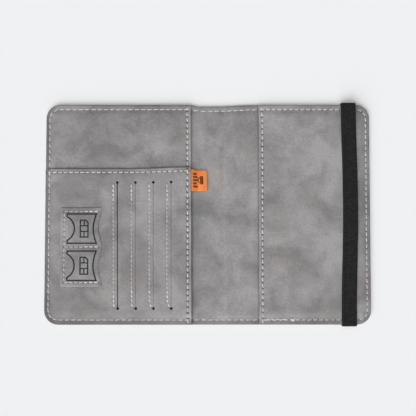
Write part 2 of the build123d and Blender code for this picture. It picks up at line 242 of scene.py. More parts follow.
def slitAt(slit, y):
    return slit["x"] + slit["lean"] * (slits["top"] - y) / (slits["top"] - slits["bottom"])


def slitSeamPath(slit):
    curl = slit["curl"]
    steps = [(-0.1, 20.6), (0, 14), (0, -56.5), (0.08 * curl, -58.8), (0.4 * curl, -61.2), (curl, -63.0)]
    return [(slitAt(slit, y) - slits["seamOffset"] + x, y) for x, y in steps]


height = wallet["halfHeight"]
edgeSeams = {
    "ticket": seam([(panelEdge - 0.9, endY), *seamCorner(-1, 1), (-sideX, cardEdge + 1.0)]),
    "card": seam([(-sideX, cardEdge - 0.8), *seamCorner(-1, -1)[::-1], (panelEdge - 0.9, -endY)]),
    "spineLeft": [seam([(panelEdge + 0.6, s * endY), (-0.1, s * endY)], 3.5) for s in (1, -1)],
    "spineRight": [seam([(0.1, s * endY), (pocketEdge - 0.8, s * endY)]) for s in (1, -1)],
    "pocket": seam([(pocketEdge + 0.6, endY), *roundSide(1), (pocketEdge + 0.6, -endY)], 3.9, 0.44),
}
panelSeams = {
    "ticket": seam([(panelSeam, height - 0.7), (panelSeam, cardEdge + 0.5)], 3.8, 0.74),
    "card": seam([(panelSeam, cardEdge - 1.2), (panelSeam, -height + 0.4)], 3.8, 0.8),
}
hemSeam = seam([(-wallet["halfWidth"] + 0.9, cardSeam), (panelSeam + 1.4, cardSeam)], 3.7, 0.52)
pocketHemSeam = seam([(pocketSeam - 0.6, height - 0.6), (pocketSeam, 64), (pocketSeam, -74.6)], 4.0, 0.62)
slitSeams = [seam(slitSeamPath(s), 2.9, 0.27, ((0, 4), (-4, None))) for s in slits["each"]]
patchSeams = [
    seam([(patch["seamX"] - 0.3, y), (patch["seamEnd"], y)], 3.1, 0.44, ((-3, None),)) for y in patch["seamsY"]
] + [
    seam([(patch["seamX"], upper - 0.6), (patch["seamX"], lower + 0.6)], 3.1, 0.44)
    for upper, lower in zip(patch["seamsY"], patch["seamsY"][1:])
]
outsideSeams = {s: seam([(s * 0.1, endY), *roundSide(s), (s * 0.1, -endY)]) for s in (-1, 1)}
print("seams laid out")


# Sheets: an outline with cuts is filled with triangles and given two faces and a rounded rim.
def leftOf(steps):  # unit vectors to the left of each step
    return np.column_stack([-steps[:, 1], steps[:, 0]]) / np.hypot(steps[:, 0], steps[:, 1])[:, None]


def shifted(loop, distance):  # moves a closed loop to its left, which is into the sheet
    before, after = leftOf(loop - np.roll(loop, 1, 0)), leftOf(np.roll(loop, -1, 0) - loop)
    middle = before + after
    middle /= np.hypot(middle[:, 0], middle[:, 1])[:, None]
    miter = np.maximum((middle * after).sum(1), 0.5)
    return loop + middle * (distance / miter)[:, None]


def respaced(loop, step):  # the same closed loop with points about a step apart, its corners kept
    points = []
    for a, b in zip(loop, np.roll(loop, -1, 0)):
        count = max(1, round(np.hypot(*(b - a)) / step))
        points += [a + (b - a) * i / count for i in range(count)]
    return np.array(points)


def insideOf(points, loops):
    inside = np.zeros(len(points), bool)
    for loop in loops:
        for (x0, y0), (x1, y1) in zip(loop, np.roll(loop, -1, 0)):
            if y0 != y1:
                crosses = (points[:, 1] < y0) != (points[:, 1] < y1)
                inside ^= crosses & (points[:, 0] < x0 + (points[:, 1] - y0) / (y1 - y0) * (x1 - x0))
    return inside


def spaced(groups):  # groups of (points, least distance): a point is left out if an earlier one is too near
    kept, cells = [], {}
    size = max(least for _, least in groups)
    for points, least in groups:
        for x, y in points:
            cx, cy = int(x // size), int(y // size)
            near = (p for i in (-1, 0, 1) for j in (-1, 0, 1) for p in cells.get((cx + i, cy + j), ()))
            if all((x - px) ** 2 + (y - py) ** 2 >= least * least for px, py in near):
                cells.setdefault((cx, cy), []).append((x, y))
                kept.append((x, y))
    return np.array(kept).reshape(-1, 2)


def nearestTree(points):
    tree = kdtree.KDTree(len(points))
    for i, (x, y) in enumerate(points):
        tree.insert((x, y, 0), i)
    tree.balance()
    return tree


def distances(tree, xy):
    return np.array([tree.find((x, y, 0))[2] for x, y in xy])


def filled(loops, points, least):  # Delaunay triangles between the loops, through points not too near the rim
    rim = nearestTree(np.vstack([respaced(loop, 0.5) for loop in loops]))
    points = points[insideOf(points, loops)]
    points = points[distances(rim, points) > least]
    everything = np.vstack([*loops, points])
    edges, start = [], 0
    for loop in loops:
        edges += [(start + i, start + (i + 1) % len(loop)) for i in range(len(loop))]
        start += len(loop)
    made = geometry.delaunay_2d_cdt([Vector(p) for p in everything], edges, [], 0, 1e-7)
    if len(made[0]) != len(everything):
        raise ValueError("a sheet's outline crosses itself")
    faces = np.array([f for f in made[2] if len(f) == 3])
    a, b, c = (everything[faces[:, i]] for i in range(3))
    turn = (b[:, 0] - a[:, 0]) * (c[:, 1] - a[:, 1]) - (b[:, 1] - a[:, 1]) * (c[:, 0] - a[:, 0])
    faces[turn < 0] = faces[turn < 0][:, ::-1]
    solid = insideOf((a + b + c) / 3, loops) & (np.abs(turn) > 1e-9)
    return everything, faces[solid]


def gridPoints(loop, step):
    low, high = loop.min(0), loop.max(0)
    rows = []
    for j, y in enumerate(np.arange(low[1] + step / 2, high[1], step * 0.87)):
        xs = np.arange(low[0] + step * (0.5 if j % 2 else 0.0), high[0], step)
        rows.append(np.column_stack([xs, np.full(len(xs), y)]))
    return np.vstack(rows)


def gathered(seams, key):
    return np.vstack([np.zeros((0, 2)), *(s[key] for s in seams)])


def besideSeams(seams, offsets, step):
    rows = [np.zeros((0, 2))]
    for s in seams:
        line = s["line"][:: max(1, round(step / lineStep))]
        if len(line) > 2:
            rows += [line + leftOf(np.gradient(line, axis=0)) * o for o in offsets]
    return np.vstack(rows)


def roundNeedles(seams, radius=0.42):
    turns = np.arange(6) * math.tau / 6
    return np.vstack([gathered(seams, "needles") + (radius * math.cos(a), radius * math.sin(a)) for a in turns])


def seamGauge(seams):  # gives for points: how far a seam is, how deep in a needle hole, how far a hole is
    if not seams:
        return lambda xy: (np.full(len(xy), np.inf), np.zeros(len(xy)), np.full(len(xy), np.inf))
    lines, needles = nearestTree(gathered(seams, "line")), nearestTree(gathered(seams, "needles"))
    sizes = np.concatenate([np.full(len(s["needles"]), s["hole"]) for s in seams])

    def gauge(xy):
        found = [needles.find((x, y, 0)) for x, y in xy]
        far, size = np.array([f[2] for f in found]), sizes[[f[1] for f in found]]
        return distances(lines, xy), bell(far, 0, size) * np.minimum(1, 0.35 + size), far

    return gauge


softRim = [(0.0, 0.42), (0.1, 0.22), (0.28, 0.08), (0.6, 0.01)]  # (in from the edge, down from the surface)
cutRim = [(0.0, 0.1), (0.06, 0.03), (0.16, 0.0)]
lowerRim = (0.14, 0.15)  # the same for the underside
pull = {  # what a seam does to the leather: (amount, width)
    "groove": (0.2, 0.75),
    "needle": (0.16, 0.5),
    "swell": (0.06, 0.8),
    "swellAt": 1.7,
    "lowerGroove": (0.3, 0.8),
    "lowerNeedle": (0.1, 0.5),
    "rows": (0, -0.45, 0.45, -1.0, 1.0, -1.7, 1.7),  # where the mesh's points run beside a seam
    "lowerRows": (0, -0.45, 0.45, -1.1, 1.1),
}


def makeSheet(name, layer, top, piece):  # slots: 0 the surface, 1 the cut edge
    outline = respaced(np.array(piece["outline"], float), piece.get("edgeStep", 1.4))
    loops = [outline, *(np.array(c, float) for c in piece.get("cuts", []))]
    rims = [piece.get("rim", softRim)] + [cutRim] * (len(loops) - 1)
    seams, lowerSeams = piece.get("seams", []), piece.get("lowerSeams", [])
    depth = thick[layer]
    bottom = piece.get("bottom") or (lambda x, y: top(x, y) - depth)
    joined = piece.get("joined")  # inset of a half that meets its other half at x = 0, with no rim there
    gauge = seamGauge(seams)
    verts, faces, slots, pierced = [], [], [], []

    def surface(xy):  # the top with its seams pulled down and the leather swelling beside them
        line, hole, needle = gauge(xy)
        z = top(xy[:, 0], xy[:, 1]) - pull["groove"][0] * bell(line, 0, pull["groove"][1])
        z = z - pull["needle"][0] * bell(needle, 0, pull["needle"][1])
        return z + pull["swell"][0] * bell(line, pull["swellAt"], pull["swell"][1]), hole

    def rimDrop(xy, rim, drop):
        if joined is None or rim is not rims[0]:
            return np.full(len(xy), drop)
        return np.interp(edgeInset(xy[:, 0], xy[:, 1]) - joined, *zip(*rim))

    def addRing(xy, z, hole=0.0):
        verts.extend(np.column_stack([xy, z]))
        pierced.extend(np.zeros(len(xy)) + hole)
        return len(verts) - len(xy)

    def atMiddle(loop):  # where the surface runs on into the other half
        return np.full(len(loop), joined is not None) & (np.abs(loop[:, 0]) < 1e-6)

    def strip(a, b, n, slot, plain=None):  # quads between two rings, given by their first points
        for i in range(n):
            j = (i + 1) % n
            faces.append((a + i, a + j, b + j, b + i))
            slots.append(0 if plain is not None and plain[i] and plain[j] else slot)

    upperRings, upperLoops, lowerRings, lowerLoops = [], [], [], []
    for loop, rim in zip(loops, rims):
        rings = []
        for inset, drop in rim[:-1]:
            ring = shifted(loop, inset)
            rings.append(addRing(ring, surface(ring)[0] - rimDrop(ring, rim, drop)))
        upperRings.append(rings[-1])
        upperLoops.append(shifted(loop, rim[-1][0]))
        onEdge = 1.0 if joined is None else (edgeInset(loop[:, 0], loop[:, 1]) < joined + 0.5)
        lowerRings.append(addRing(loop, bottom(loop[:, 0], loop[:, 1]) + min(lowerRim[1], depth * 0.3) * onEdge))
        lowerLoops.append(shifted(loop, lowerRim[0]))
        strip(lowerRings[-1], rings[0], len(loop), 1)
        for a, b in zip(rings, rings[1:]):
            strip(a, b, len(loop), 1 if a == rings[0] else 0, atMiddle(loop))

    def addFace(points, triangles, z, hole, turn):
        at = addRing(points, z, hole)
        faces.extend(tuple(at + i for i in f[::turn]) for f in triangles)
        slots.extend([0] * len(triangles))
        return at

    step = piece.get("step", 1.9)
    points, triangles = filled(upperLoops, spaced([
        (gathered(seams, "needles"), 0.2),
        (roundNeedles(seams), 0.3),
        (besideSeams(seams, pull["rows"], 0.5), 0.36),
        (piece.get("extraPoints", []), 0.3),
        (gridPoints(outline, step), step * 0.55),
    ]), 0.35)
    z, hole = surface(points)
    drops = np.concatenate([rimDrop(loop, rim, rim[-1][1]) for loop, rim in zip(upperLoops, rims)])
    z[: len(drops)] -= drops
    at = addFace(points, triangles, z, hole, 1)
    for loop, ring in zip(upperLoops, upperRings):
        strip(ring, at, len(loop), 0)
        at += len(loop)

    points, triangles = filled(lowerLoops, spaced([
        (besideSeams(lowerSeams, pull["lowerRows"], 0.6), 0.4),
        (piece.get("lowerPoints", []), 0.3),
        (gridPoints(outline, piece.get("lowerStep", 5.0)), 2.0),
    ]), 0.4)
    line, hole, needle = seamGauge(lowerSeams)(points)
    z = bottom(points[:, 0], points[:, 1]) + pull["lowerGroove"][0] * bell(line, 0, pull["lowerGroove"][1])
    z = z + pull["lowerNeedle"][0] * bell(needle, 0, pull["lowerNeedle"][1])
    at = addFace(points, triangles, z, hole, -1)
    for loop, ring in zip(loops, lowerRings):
        strip(at, ring, len(loop), 1, atMiddle(loop))
        at += len(loop)

    verts = np.array(verts)
    x, y = verts[:, :2].T.copy()
    verts[:, 0], verts[:, 1] = settle(x, y)
    obj = meshObject(name, verts, faces, piece.get("materials") or [leather[layer], cutEdge], slots)
    addAttribute(obj, "pierced", pierced)
    addAttribute(obj, "rimShade", bell(np.maximum(edgeInset(x, y), 0), 0, 2.6))  # 1 at the outer edge
    spots = (amount * bell(x, sx, wide) * bell(y, sy, high) for sx, sy, wide, high, amount in piece.get("spots", []))
    addAttribute(obj, "cloud", sum(spots, np.zeros(len(x))))
    # the shade attribute holds painted shade and highlights, with some plain tone changes
    if "shade" in piece:
        addAttribute(obj, "shade", piece["shade"](x, y) + borderShade(x, y))
    if joined is not None:
        obj.data.set_sharp_from_angle(angle=math.radians(60))
    return obj


def borderShade(x, y):  # the strip outside the edge seam: lighter at the top, darker at the bottom and left
    tone = 0.09 * smooth(y, 60, 72) - 0.09 * smooth(-y, 60, 72) - 0.13 * smooth(-x, 100, 108)
    return (1 - smooth(edgeInset(x, y), 2.2, 3.6)) * tone


def addAttribute(obj, name, values):
    attribute = obj.data.attributes.new(name, "FLOAT", "POINT")
    attribute.data.foreach_set("value", np.asarray(values, np.float32))


def meshObject(name, verts, faces, materials, slots=None, flat=False):
    mesh = bpy.data.meshes.new(name)
    mesh.from_pydata([tuple(v) for v in np.asarray(verts, float) * mm], [], [tuple(f) for f in faces])
    for material in materials:
        mesh.materials.append(material)
    if slots is not None:
        mesh.polygons.foreach_set("material_index", np.asarray(slots, np.int32))
    mesh.polygons.foreach_set("use_smooth", np.full(len(mesh.polygons), not flat))
    mesh.update()
    obj = bpy.data.objects.new(name, mesh)
    bpy.context.scene.collection.objects.link(obj)
    return obj


class Wire:  # a node's output, which can be added to and multiplied like a number
    def __init__(self, socket):
        self.socket, self.tree = socket, socket.id_data

    def __add__(self, other):
        return calc("ADD", self, other)

    def __mul__(self, other):
        return calc("MULTIPLY", self, other)

    def __sub__(self, other):
        return calc("SUBTRACT", self, other)


def put(tree, kind, values=None, **settings):
    node = tree.nodes.new(kind)
    for key, value in settings.items():
        setattr(node, key, value)
    for key, value in (values or {}).items():
        if isinstance(value, Wire):
            tree.links.new(value.socket, node.inputs[key])
        else:
            node.inputs[key].default_value = value
    return node


def wire(tree, kind, values=None, output=0, **settings):
    return Wire(put(tree, kind, values, **settings).outputs[output])


def calc(operation, a, b=0.0, clamp=False):
    tree = (a if isinstance(a, Wire) else b).tree
    return wire(tree, "ShaderNodeMath", {0: a, 1: b}, operation=operation, use_clamp=clamp)


def vectorCalc(operation, a, values):
    return wire(a.tree, "ShaderNodeVectorMath", {0: a, **values}, operation=operation)


def newMaterial(name):
    material = bpy.data.materials.new(name)
    material.use_nodes = True
    material.node_tree.nodes.clear()
    return material, material.node_tree


def patterned(name):  # a new material and the place on the piece that its patterns read
    material, tree = newMaterial(name)
    return material, tree, wire(tree, "ShaderNodeTexCoord", output="Object")


def mapped(place, **values):
    return wire(place.tree, "ShaderNodeMapping", {"Vector": place, **values})


def noise(place, scale, detail=3.0, roughness=0.5, distortion=0.0, output=0):
    values = {"Vector": place, "Scale": scale, "Detail": detail, "Roughness": roughness, "Distortion": distortion}
    return wire(place.tree, "ShaderNodeTexNoise", values, output)


def wave(place, axis, scale, **values):
    values.update(Vector=place, Scale=scale)
    return wire(place.tree, "ShaderNodeTexWave", values, "Fac", bands_direction=axis)


def mixed(factor, a, b):
    return wire(factor.tree, "ShaderNodeMix", {0: factor, 6: a, 7: b}, 2, data_type="RGBA")


def ramp(factor, *stops):  # stops: (position, color)
    node = put(factor.tree, "ShaderNodeValToRGB", {0: factor})
    elements = node.color_ramp.elements
    while len(elements) < len(stops):
        elements.new(0.5)
    for element, (position, color) in zip(elements, stops):
        element.position = position
        element.color = (*color, 1)
    return Wire(node.outputs[0])


def marked(tree, name):
    return wire(tree, "ShaderNodeAttribute", output="Fac", attribute_name=name)


def finish(material, color, rough, bump=None, specular=None, sheen=None, **more):  # bump: height, strength, depth
    tree = material.node_tree
    values = {"Base Color": color, "Roughness": rough, **more}
    if bump:
        height, strength, depth = bump
        values["Normal"] = wire(tree, "ShaderNodeBump", {"Height": height, "Strength": strength, "Distance": depth})
    if specular is not None:
        values["Specular IOR Level"] = specular
    if sheen:
        values["Sheen Weight"], values["Sheen Roughness"] = sheen
    shader = wire(tree, "ShaderNodeBsdfPrincipled", values)
    put(tree, "ShaderNodeOutputMaterial", {"Surface": shader})
    return material


nubuck = {  # patterns: scale, detail, roughness, distortion
    "tones": ((0.41, (0.205, 0.199, 0.201)), (0.5, (0.268, 0.260, 0.262)), (0.61, (0.345, 0.335, 0.336))),
    "warm": (0.330, 0.290, 0.270),
    "warmScale": 30.0,
    "swirl": (24.0, 0.03),  # scale, and how far it drags the clouds
    "clouds": (34.0, 4.0, 0.52, 0.3),
    "patches": (95.0, 4.0, 0.6, 0.2),
    "nap": (950.0, 3.0, 0.65),
    "grain": (2600.0, 2.0, 0.6),
    "rimTone": 0.75,
    # painted shade inside the needle holes
    "holeShade": (0.006, 0.006, 0.006),
    "shares": (0.58, 0.32, 0.1, 0.11),  # of clouds, patches, nap and soft spots in the tone
    "relief": (0.8, 0.6, 0.4),  # of patches, nap and grain in the height
    "rough": (0.78, 0.16),  # at the least, and what the patches add
    "bump": (0.5, 0.00016),
    "specular": 0.3,
    "sheen": (0.15, 0.5),
}


def nubuckMaterial(name, shift, brightness):
    material, tree, place = patterned(name)

    def dyed(color):
        return tuple(c * brightness for c in color)

    moved = mapped(place, Location=shift)
    swirlScale, reach = nubuck["swirl"]
    swirl = vectorCalc("SUBTRACT", noise(moved, swirlScale, 2.0, output="Color"), {1: (0.5, 0.5, 0.5)})
    swirled = vectorCalc("ADD", moved, {1: vectorCalc("SCALE", swirl, {"Scale": reach})})
    clouds, patches = noise(swirled, *nubuck["clouds"]), noise(swirled, *nubuck["patches"])
    nap, grain = noise(moved, *nubuck["nap"]), noise(moved, *nubuck["grain"])
    cloudShare, patchShare, napShare, spotShare = nubuck["shares"]
    tone = clouds * cloudShare + patches * patchShare + nap * napShare + marked(tree, "cloud") * spotShare
    color = ramp(tone, *((position, dyed(shade)) for position, shade in nubuck["tones"]))
    warmth = calc("SUBTRACT", noise(mapped(moved, Location=(3, 1, 2)), nubuck["warmScale"]), 0.55, clamp=True)
    color = mixed(calc("MULTIPLY", warmth, 2.0, clamp=True), color, (*dyed(nubuck["warm"]), 1))
    # darker rims, and the painted shade and highlights carried by the shade attribute
    rim = calc("SUBTRACT", 1.0, marked(tree, "rimShade") * (1 - nubuck["rimTone"])) * (marked(tree, "shade") + 1.0)
    speck = (nap * 0.5 + 0.75) * (grain * 0.3 + 0.85)
    color = vectorCalc("SCALE", color, {"Scale": speck * rim})
    # painted shade: the leather goes near black inside each needle hole
    color = mixed(marked(tree, "pierced") * 0.93, color, (*nubuck["holeShade"], 1))
    broad, medium, fine = nubuck["relief"]
    height = nap * medium + grain * fine + patches * broad
    least, extra = nubuck["rough"]
    bump = (height, *nubuck["bump"])
    return finish(material, color, patches * extra + least, bump, nubuck["specular"], nubuck["sheen"])


def plainMaterial(name, grain, colors, bump, rough, specular=0.5, stretch=(1, 1, 1), at=(0.3, 0.7)):
    material, _, place = patterned(name)
    pattern = noise(mapped(place, Scale=stretch), *grain)
    return finish(material, ramp(pattern, *zip(at, colors)), rough, (pattern, *bump), specular)


def inkMaterial(name, dark, light):
    return plainMaterial(name, (1100.0, 3.0, 0.6), (dark, light), (0.3, 0.00005), 0.6, 0.35, at=(0.35, 0.75))


def threadMaterial():
    material, _, place = patterned("seamThread")
    twist = wave(mapped(place, Rotation=(0, 0, math.radians(38))), "X", 620.0, Distortion=1.2, Detail=1.0)
    light = twist * 0.34 + noise(place, 420.0, 2.0) * 0.66
    color = ramp(light, (0.2, (0.42, 0.41, 0.405)), (0.5, (0.63, 0.62, 0.615)), (0.8, (0.88, 0.87, 0.86)))
    return finish(material, color, 0.62, (twist, 0.6, 0.00008), 0.35, (0.3, 0.4))


def elasticMaterial():  # rubbery woven ribbon: its UV map is in millimetres, across and along
    material, tree, place = patterned("wovenElastic")
    parts = put(tree, "ShaderNodeSeparateXYZ", {0: wire(tree, "ShaderNodeUVMap", uv_map="weave")})
    across, along = map(Wire, parts.outputs[:2])
    pitch, column = 0.85, 0.62  # of the cross ribs and of the knit's columns
    ribs = calc("SINE", along * (math.tau / pitch))
    odd = calc("FLOOR", across * (1 / column)) * (math.pi / 2)
    knit = calc("SINE", along * (math.tau / (2 * pitch)) + odd)
    weave = calc("ABSOLUTE", calc("SINE", across * (math.pi / column))) * (knit * 0.25 + 0.75)
    fuzz = noise(place, 1400.0, 3.0, 0.6)
    mottle = noise(mapped(place, Scale=(1, 2.4, 1)), 420.0, 3.0, 0.7)
    edgeLine = calc("LESS_THAN", calc("ABSOLUTE", across + 3.1), 0.2)  # the dark line beside one edge
    light = (weave * 0.55 + fuzz * 0.45) * 0.45 + mottle * 0.55 - edgeLine * 0.12
    color = ramp(light, (0.34, (0.0015, 0.0015, 0.0018)), (0.62, (0.0225, 0.0225, 0.0245)))
    return finish(material, color, 0.8, (weave + ribs * 0.3 + fuzz * 0.5, 0.6, 0.00014), 0.2, (0.05, 0.4))


def tagMaterial():
    material, _, place = patterned("orangeTag")
    pores = noise(place, 1900.0, 3.0, 0.6)
    tone = noise(place, 160.0) * 0.6 + pores * 0.4
    color = ramp(tone, (0.3, (0.67, 0.165, 0.026)), (0.55, (0.81, 0.22, 0.040)), (0.8, (0.90, 0.285, 0.066)))
    return finish(material, color, 0.55, (pores, 0.5, 0.00008), 0.4)


def linerMaterial():
    material, _, place = patterned("linerCloth")
    weave = wave(place, "X", 700.0) * wave(place, "Y", 700.0)
    color = ramp(weave, (0.0, (0.006, 0.006, 0.006)), (1.0, (0.020, 0.020, 0.021)))
    return finish(material, color, 0.85, (weave, 0.5, 0.00005))


def foilMaterial():
    material, _, place = patterned("shieldingFoil")
    creases = noise(place, 90.0, 4.0, 0.6, 0.6)
    color = ramp(creases, (0.3, (0.68, 0.68, 0.70)), (0.7, (0.80, 0.80, 0.81)))
    return finish(material, color, creases * 0.2 + 0.25, (creases, 0.5, 0.0003), Metallic=1.0)


leather = {
    layer: nubuckMaterial(name + "Nubuck", shift, brightness)
    for layer, name, shift, brightness in (
        ("cover", "cover", (0.31, 0.12, 0.0), 0.95), ("lining", "lining", (0.05, 0.42, 0.1), 0.97),
        ("ticket", "ticketPocket", (0.73, 0.05, 0.2), 0.97), ("card", "cardPanel", (0.15, 0.77, 0.3), 0.96),
        ("patch", "simPatch", (0.52, 0.61, 0.4), 0.97), ("pocket", "passportPocket", (0.93, 0.33, 0.5), 0.975),
    )
}
cutEdge = plainMaterial(  # fibrous, in thin layers
    "leatherCutEdge", (900.0, 3.0, 0.6), ((0.13, 0.126, 0.127), (0.23, 0.225, 0.226)), (0.5, 0.0001),
    rough=0.9, specular=0.2, stretch=(1, 1, 9),
)
board = plainMaterial(
    "stiffenerBoard", (600.0, 4.0, 0.7), ((0.27, 0.22, 0.16), (0.42, 0.35, 0.27)), (0.4, 0.0001), 0.9,
)
thread, elastic, orange = threadMaterial(), elasticMaterial(), tagMaterial()
patchInk = inkMaterial("patchInk", (0.008, 0.008, 0.009), (0.018, 0.018, 0.019))
tagEdge = inkMaterial("tagEdge", (0.30, 0.075, 0.020), (0.45, 0.12, 0.03))
tagInk = inkMaterial("tagInk", (0.11, 0.030, 0.012), (0.20, 0.055, 0.020))

hidden = {"card_pocket_liner": linerMaterial(), "stiffener_board": board, "shielding_sheet": foilMaterial()}
for node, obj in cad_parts.items():  # CAD nodes that keep their shape
    for start, material in hidden.items():
        if node.startswith(start):
            obj.data.materials.clear()
            obj.data.materials.append(material)
print("materials made")


# Covers and lining: a left (-1) and a right (1) half, meeting at x = 0.
def halfOutline(side, inset=0.0, near=0.0):  # counter-clockwise, corners rounded on the wallet's edge
    w, h, r = wallet["halfWidth"] - inset, wallet["halfHeight"] - inset, wallet["corner"] - inset
    upper = arc(w - r, h - r, r, r, quarter(9))
    lower = [(x, -y) for x, y in upper][::-1]
    points = [(abs(near), -h), *lower, *upper, (abs(near), h)]
    return [(side * x, y) for x, y in points][::side]


def attach(obj, on, slot, *nodes):  # on: a body, or -1 or 1 for a piece of the left or right half, which keeps its place
    near, far, z = (x * mm for x in (*wallet["foldBand"], wallet["foldHeight"]))
    if on == -1:
        -far
        -near
        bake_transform(obj)
    elif on == 1:
        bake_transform(obj)
    else:
        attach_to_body(obj, on)
    if nodes:
        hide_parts(*nodes)


def beside(x, start, width):  # 1 at the start of a soft band, fading away from it to one hand
    return np.where(x >= start, bell(x, start, width), 0.0)


def liningShade(x, y):  # painted highlight along the back's ridge, and painted shade in the folds under the panels' edges, broader towards the bottom beside the left panels
    crease = -0.34 * beside(x, panelEdge - 0.05, 1.2) - 0.36 * beside(-x, -pocketEdge - 0.05, 1.0)
    crease = crease - 0.10 * beside(x, panelEdge - 0.05, 3.2) * smooth(-y, -12, 20)
    return crease + 0.12 * bell(x, 12, 1.3) * (0.6 + 0.4 * smooth(y, -20, 20))


foldPoints = [(x, y) for x in np.arange(0.5, 12.1, 0.85) for y in np.arange(-74.2, 74.3, 1.5)]
liningSpots = [
    (-5, 52, 5, 12, 0.9), (2, 30, 4, 9, 0.4), (6, -8, 7, 20, -0.25), (20, 12, 12, 16, 0.35), (26, 58, 8, 8, -0.3),
    (15, -40, 10, 12, 0.3), (28, -52, 6, 14, 0.3), (5, -58, 6, 10, -0.3),
]
halves = {
    -1: ("Left", panelEdge + np.array([0.1, 0.7, 1.4, 2.2]), "spineLeft", ["front", "spine"]),
    1: ("Right", pocketEdge - np.array([0.1, 0.7, 1.3, 2.0]), "spineRight", ["back"]),
}
for side, (name, creases, ends, nodes) in halves.items():
    outline, inner = halfOutline(side), halfOutline(side, 0.12)
    folded = [(side * x, y) for x, y in foldPoints]
    cover = makeSheet("outerCover" + name, "cover", lambda x, y: 0 * x + level["cover"] - 0.01, {
        "outline": outline, "bottom": lambda x, y: 0 * x, "joined": 0.0, "step": 4.0, "lowerStep": 2.4,
        "extraPoints": folded, "lowerPoints": folded, "lowerSeams": [outsideSeams[side]],
    })
    lining = makeSheet("innerLining" + name, "lining", liningTop, {
        "outline": inner, "joined": 0.12, "step": 2.0, "shade": liningShade, "spots": liningSpots,
        "extraPoints": folded + [(x, y) for x in creases for y in np.arange(-74.0, 74.1, 1.2)],
        "seams": edgeSeams[ends],
    })
    attach(cover, side, "outer_leather", *("outer_cover_" + node for node in nodes))
    attach(lining, side, "inner_leather", *("inner_lining_" + node for node in nodes))
    "outerCover" + name
print("cover and lining made")


def hemLight(x, y):  # painted highlight on the rounded strip between a hem's seam and its edge, where it would catch the light
    return 0.15 * smooth(x, panelSeam + 0.5, panelSeam + 1.1) * (1 - smooth(x, panelEdge - 0.5, panelEdge))


# painted highlights on the rounded hem strips, with the left third darker and the right a little lighter
def cardShade(x, y):
    hem = 0.06 * smooth(y, cardEdge - 2.4, cardEdge - 1.7) * (1 - smooth(y, cardEdge - 0.5, cardEdge))
    left = (0.06 + 0.045 * smooth(-y, 25, 50)) * (1 - smooth(x, -84, -64))
    return hemLight(x, y) + hem - left + 0.025 * smooth(x, -66, -54)


# painted highlight on the hem strip, a little darker overall, and a painted shadow just above the card panel's top edge
def ticketShade(x, y):
    return hemLight(x, y) - 0.025 - 0.42 * beside(y, cardEdge - 0.1, 0.85) * smooth(x, -108, -104) * smooth(-x, 13, 19)


def slitLoop(slit):  # clockwise: the gap with a round hole at each end
    half, r = slit["gap"] / 2, slits["holeRadius"]
    lift = math.asin(half / r)

    def hole(y, first, last):
        return [(slitAt(slit, y) + r * math.sin(a), y + r * math.cos(a)) for a in np.linspace(first, last, 12)]

    ys = np.arange(slits["top"] - 2.2, slits["bottom"] + 1.8, -1.3)
    right = [(slitAt(slit, y) + half, y) for y in ys]
    left = [(slitAt(slit, y) - half, y) for y in ys[::-1]]
    lower, upper = hole(slits["bottom"], lift, math.tau - lift), hole(slits["top"], math.pi + lift, 3 * math.pi - lift)
    return [*right, *lower, *left, *upper]


ticketOutline = halfOutline(-1, 0.05, near=panelEdge)
ticketPocket = makeSheet("ticketPocket", "ticket", ticketTop, {
    "outline": ticketOutline,
    "seams": [edgeSeams["ticket"], panelSeams["ticket"]], "shade": ticketShade,
    "extraPoints": [(x, y) for y in cardEdge + np.array([0.0, 0.5, 1.0, 1.6]) for x in np.arange(-109.5, -12, 1.1)],
    "spots": [
        (-47, 52, 13, 7, 1.15), (-32, 45, 14, 5, 1.0), (-92, 60, 16, 7, 0.2), (-90, 50, 10, 7, 0.5),
        (-70, 40, 16, 8, -0.4), (-60, 66, 20, 5, -0.1), (-24, 66, 9, 6, -0.3), (-44, 68, 10, 5, 0.35),
    ],
})
cardOutline = [
    (panelEdge, cardEdge - 0.7), (panelEdge - 0.7, cardEdge), (-wallet["halfWidth"], cardEdge),
    *[p for p in halfOutline(-1, 0.0, near=panelEdge) if p[1] < 0],
]
cardPanel = makeSheet("cardPanel", "card", cardTop, {
    "outline": cardOutline, "cuts": [slitLoop(s) for s in slits["each"]],
    "seams": [edgeSeams["card"], panelSeams["card"], hemSeam, *slitSeams], "shade": cardShade,
    "spots": [
        (-53, 2, 9, 18, 0.45), (-42, -8, 5, 20, 0.6), (-29, -30, 8, 14, 0.6), (-22, -2, 7, 16, 0.35),
        (-92, 12, 20, 18, -0.65), (-68, 12, 5, 9, 0.55), (-66, -11, 6, 10, 0.5),
        (-90, -44, 24, 32, -0.5), (-36, -28, 20, 30, 0.35), (-86, -56, 12, 8, 0.55),
    ],
})
print("left-hand pockets made")


def makePatchOutline():
    high, low = patch["seamsY"][0] + patch["overhang"], patch["seamsY"][-1] - patch["overhang"]
    ys = np.linspace(low, high, 45)
    turn = np.interp(ys, [low, patch["seamsY"][1], high], [0, math.tau, 2 * math.tau])
    xs = patch["right"] - patch["wave"] * (1 - np.cos(turn)) / 2
    return [(patch["left"], high), (patch["left"], low), *zip(xs, ys)]


patchOutline = makePatchOutline()
simPatch = makeSheet("simPatch", "patch", patchTop, {
    "outline": patchOutline, "step": 1.5, "edgeStep": 1.0, "rim": [(0.0, 0.26), (0.2, 0.12), (0.5, 0.0)],
    "seams": patchSeams, "materials": [leather["patch"], leather["patch"]],
})


